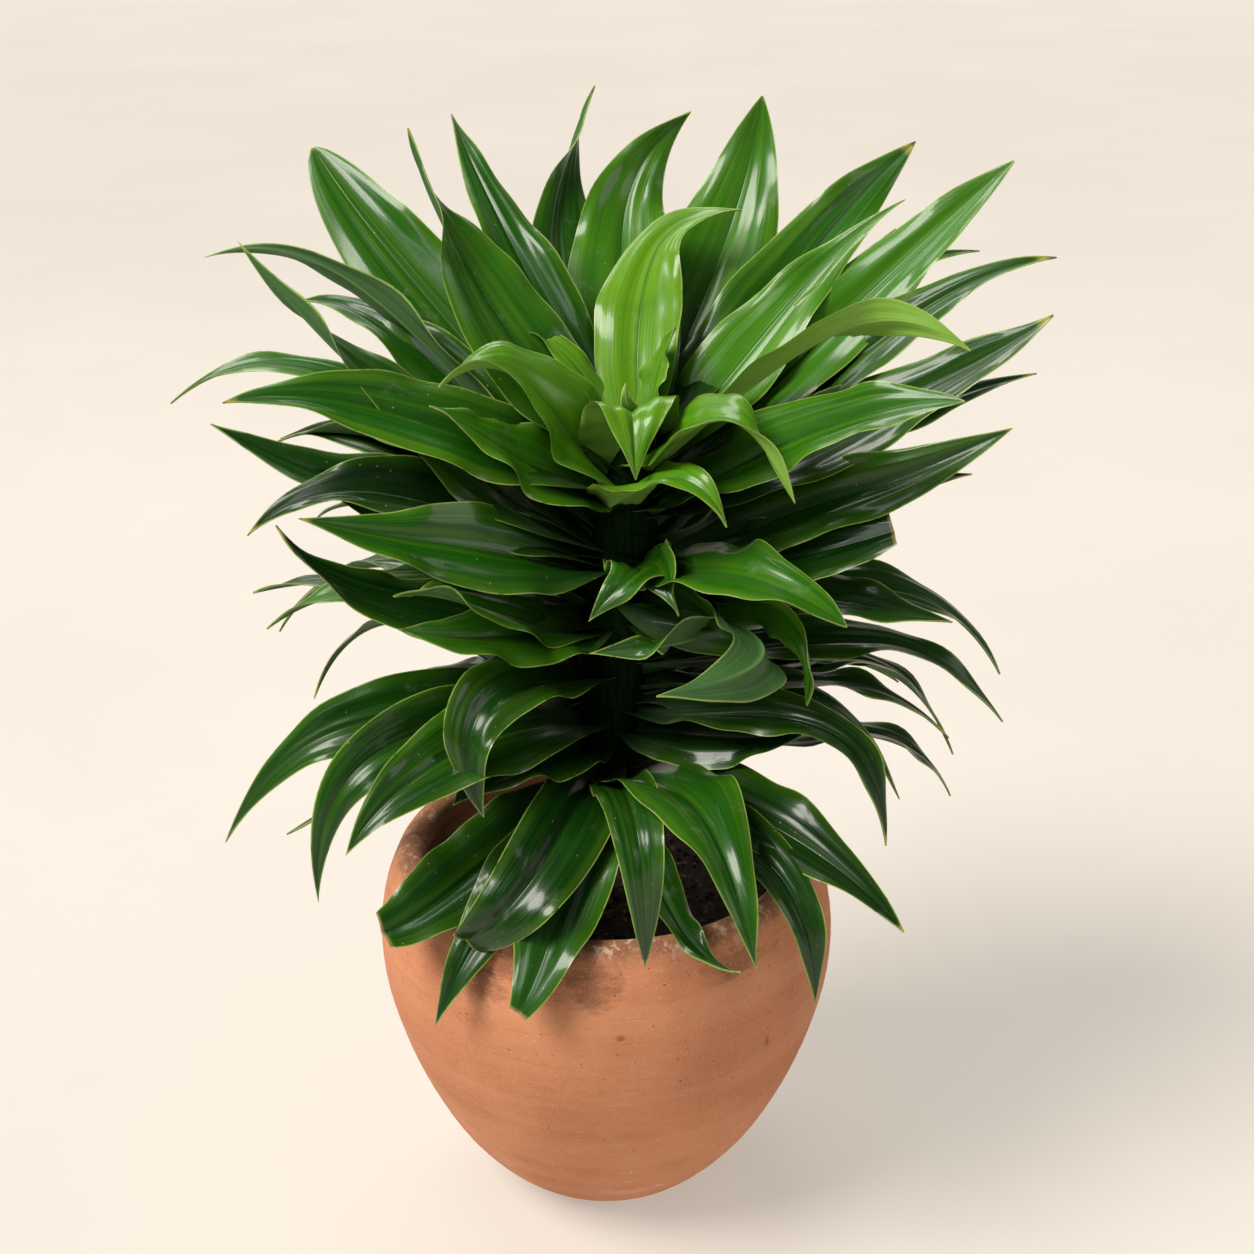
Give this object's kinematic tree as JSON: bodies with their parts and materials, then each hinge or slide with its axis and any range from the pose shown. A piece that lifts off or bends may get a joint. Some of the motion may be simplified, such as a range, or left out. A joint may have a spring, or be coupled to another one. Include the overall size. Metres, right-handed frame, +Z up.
{
  "type": "potted dracaena",
  "caption": "Bushy dracaena with glossy arching dark green leaves on a short stem, growing in a round-bellied terracotta pot.",
  "frame": {"origin": "centre of the pot's flat foot, on the surface it stands on", "axes": "+Z up along the pot's turning axis; -Y is the front that the camera sees, +X to its right"},
  "size_m": [0.3938, 0.3132, 0.514],
  "materials": {
    "terracotta": "matte unglazed clay",
    "potting_soil": "dark crumbly potting mix",
    "cane_bark": "rough brown bark with leaf scars",
    "leaf_green": "glossy, finely veined leaf"
  },
  "bodies": {
    "root": {"pot": "terracotta", "soil": "potting_soil", "cane": "cane_bark", "leafy_stem": "leaf_green"}
  },
  "joints": []
}
